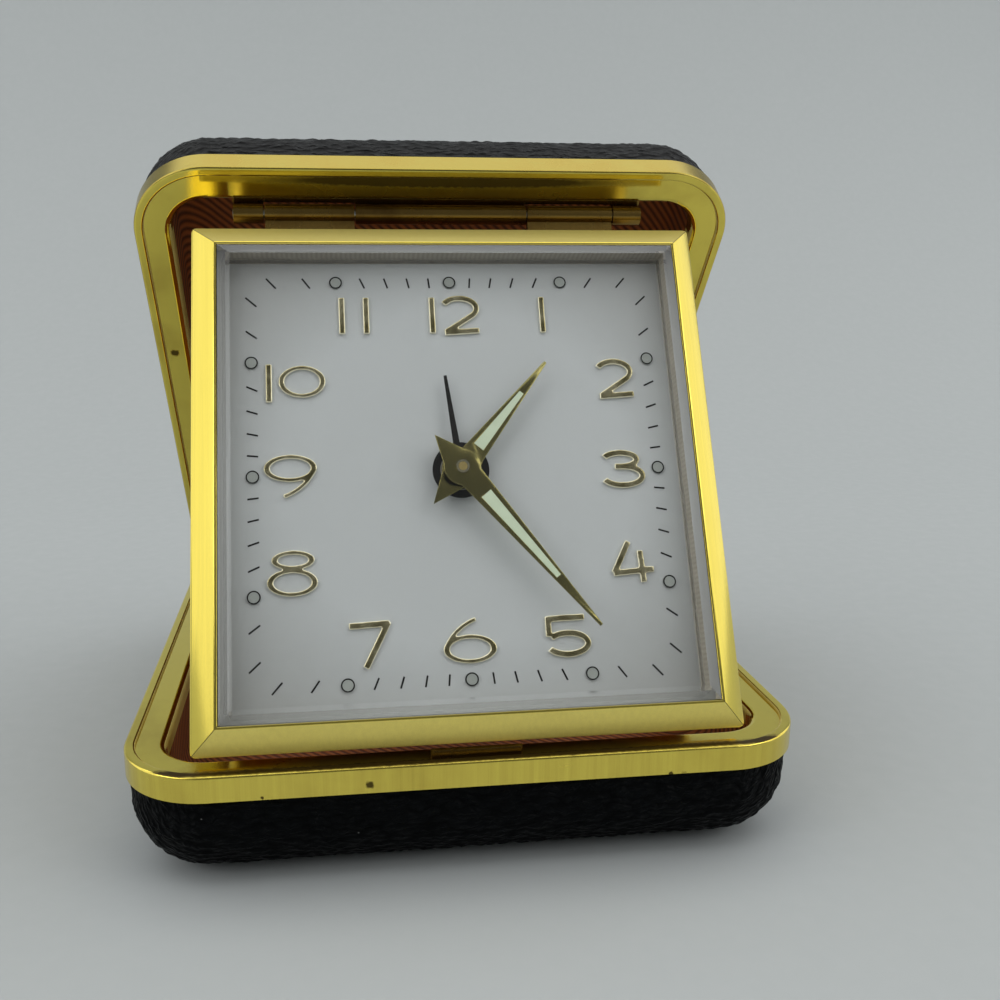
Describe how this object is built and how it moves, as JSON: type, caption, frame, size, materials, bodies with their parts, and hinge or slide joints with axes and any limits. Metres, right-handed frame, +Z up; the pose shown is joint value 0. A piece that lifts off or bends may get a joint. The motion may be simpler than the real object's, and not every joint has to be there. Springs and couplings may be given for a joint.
{
  "type": "folding travel alarm clock",
  "caption": "Folding travel alarm clock: square wind-up clock on a hinge in a leather-covered brass-edged case, opened so that case and clock form an easel.",
  "frame": {"origin": "middle of the base tray's flat underside, on the table", "axes": "+Z up, the dial and the base's front are towards -Y, +X is to the right seen from the front"},
  "size_m": [0.076, 0.0852, 0.0806],
  "materials": {
    "leather": "black, coarse pressed grain",
    "lining": "ribbed cloth on card",
    "steel": "plain rolled or turned",
    "luminous": "dry luminous paint",
    "movement_case": "gilt lacquer",
    "case_brass": "brushed, lightly tarnished",
    "dial_gold": "gilt, polished edges",
    "crystal": "clear",
    "dial": "satin silver",
    "black": "black lacquer",
    "blued_steel": "blued",
    "movement_brass": "turned"
  },
  "bodies": {
    "base": {"base_leather": "leather", "base_tray": "steel", "base_rim": "case_brass", "base_lining": "lining", "base_hinge_leaf": "case_brass", "case_hinge_pin": "steel", "case_catch": "case_brass"},
    "lid": {"lid_leather": "leather", "lid_tray": "steel", "lid_rim": "case_brass", "lid_lining": "lining", "lid_hinge_leaf": "case_brass", "clock_hinge_leaf": "case_brass", "clock_hinge_pin": "steel"},
    "clock": {"clock_hinge_lugs": "case_brass", "bezel": "case_brass", "crystal": "crystal", "dial": "dial", "numerals": "dial_gold", "hour_dots": "luminous", "movement_case": "movement_case", "back_cover": "movement_case", "back_screws": "steel", "front_plate": "movement_brass", "rear_plate": "movement_brass", "pillars": "movement_brass", "hairspring": "blued_steel"},
    "minute_set": {"centre_wheel": "movement_brass", "cannon_pinion": "movement_brass", "minute_hand": "dial_gold", "minute_hand_inlay": "luminous", "hand_nut": "dial_gold", "time_set_knob": "movement_brass"},
    "hour_set": {"hour_wheel": "movement_brass", "hour_hand": "dial_gold", "hour_hand_inlay": "luminous"},
    "minute_wheel": {"minute_wheel": "movement_brass"},
    "third_wheel": {"third_wheel": "movement_brass"},
    "escape_wheel": {"escape_wheel": "movement_brass"},
    "going_barrel": {"going_barrel": "movement_brass", "going_mainspring": "steel"},
    "alarm_setter": {"alarm_set_knob": "movement_brass", "alarm_set_arbor": "movement_brass"},
    "alarm_pointer": {"alarm_hand": "black", "alarm_wheel": "movement_brass"},
    "going_key": {"going_winding_key": "movement_brass"},
    "alarm_key": {"alarm_winding_key": "movement_brass"},
    "alarm_barrel": {"alarm_barrel": "movement_brass", "alarm_mainspring": "steel"},
    "stop_button": {"alarm_stop_button": "movement_brass"},
    "regulator": {"regulator_lever": "movement_brass"},
    "balance": {"balance_wheel": "movement_brass"},
    "pallet": {"pallet_fork": "steel"},
    "hammer": {"alarm_hammer": "steel"}
  },
  "joints": [
    {"name": "case_hinge", "type": "hinge", "parent": "base", "child": "lid", "pos_m": [0, 0.0392, 0.014], "axis": [-1, 0, 0], "range_deg": [0, 47]},
    {"name": "clock_hinge", "type": "hinge", "parent": "lid", "child": "clock", "pos_m": [0, -0.00448, 0.07111], "axis": [1, 0, 0], "range_deg": [0, 63]},
    {"name": "minute_turn", "type": "hinge", "parent": "clock", "child": "minute_set", "pos_m": [0, -0.01721, 0.03901], "axis": [0, 0.8993, -0.4373], "continuous": true},
    {"name": "hour_turn", "type": "hinge", "parent": "clock", "child": "hour_set", "pos_m": [0, -0.01721, 0.03901], "axis": [0, 0.8993, -0.4373], "continuous": true},
    {"name": "minute_wheel_turn", "type": "hinge", "parent": "clock", "child": "minute_wheel", "pos_m": [-0.0055, -0.01809, 0.03721], "axis": [0, 0.8993, -0.4373], "continuous": true},
    {"name": "third_turn", "type": "hinge", "parent": "clock", "child": "third_wheel", "pos_m": [0, -0.02086, 0.0315], "axis": [0, 0.8993, -0.4373], "continuous": true},
    {"name": "escape_turn", "type": "hinge", "parent": "clock", "child": "escape_wheel", "pos_m": [-0.00663, -0.02254, 0.02806], "axis": [0, 0.8993, -0.4373], "continuous": true},
    {"name": "going_barrel_turn", "type": "hinge", "parent": "clock", "child": "going_barrel", "pos_m": [-0.0106, -0.01494, 0.04367], "axis": [0, 0.8993, -0.4373], "continuous": true},
    {"name": "alarm_set_turn", "type": "hinge", "parent": "clock", "child": "alarm_setter", "pos_m": [0, -0.01347, 0.0467], "axis": [0, 0.8993, -0.4373], "continuous": true},
    {"name": "alarm_pointer_turn", "type": "hinge", "parent": "clock", "child": "alarm_pointer", "pos_m": [0, -0.01721, 0.03901], "axis": [0, 0.8993, -0.4373], "continuous": true},
    {"name": "going_key_turn", "type": "hinge", "parent": "clock", "child": "going_key", "pos_m": [-0.0106, -0.01494, 0.04367], "axis": [0, 0.8993, -0.4373], "continuous": true},
    {"name": "alarm_key_turn", "type": "hinge", "parent": "clock", "child": "alarm_key", "pos_m": [0.0106, -0.01494, 0.04367], "axis": [0, 0.8993, -0.4373], "continuous": true},
    {"name": "alarm_barrel_turn", "type": "hinge", "parent": "clock", "child": "alarm_barrel", "pos_m": [0.0106, -0.01494, 0.04367], "axis": [0, 0.8993, -0.4373], "continuous": true},
    {"name": "stop_button_push", "type": "slide", "parent": "clock", "child": "stop_button", "axis": [0, -0.8993, 0.4373], "range_m": [0, 0.0009], "stiffness_N_per_m": 300},
    {"name": "regulator_swing", "type": "hinge", "parent": "clock", "child": "regulator", "pos_m": [0.008, -0.02421, 0.02462], "axis": [0, 0.8993, -0.4373], "range_deg": [-10, 10]},
    {"name": "balance_swing", "type": "hinge", "parent": "clock", "child": "balance", "pos_m": [0.008, -0.02421, 0.02462], "axis": [0, 0.8993, -0.4373], "range_deg": [-120, 120], "stiffness_Nm_per_rad": 0.00002},
    {"name": "pallet_rock", "type": "hinge", "parent": "clock", "child": "pallet", "pos_m": [-0.002, -0.02443, 0.02417], "axis": [0, 0.8993, -0.4373], "range_deg": [-5, 5]},
    {"name": "hammer_rock", "type": "hinge", "parent": "clock", "child": "hammer", "pos_m": [-0.003, -0.00934, 0.05519], "axis": [0, 0.8993, -0.4373], "range_deg": [-6, 6]}
  ],
  "couplings": [
    {"joint": "hour_turn", "follows": "minute_turn", "ratio": 0.083333},
    {"joint": "minute_wheel_turn", "follows": "minute_turn", "ratio": -0.33333},
    {"joint": "third_turn", "follows": "minute_turn", "ratio": -5},
    {"joint": "escape_turn", "follows": "minute_turn", "ratio": 25},
    {"joint": "going_barrel_turn", "follows": "minute_turn", "ratio": -0.13333},
    {"joint": "alarm_pointer_turn", "follows": "alarm_set_turn", "ratio": -0.4}
  ]
}
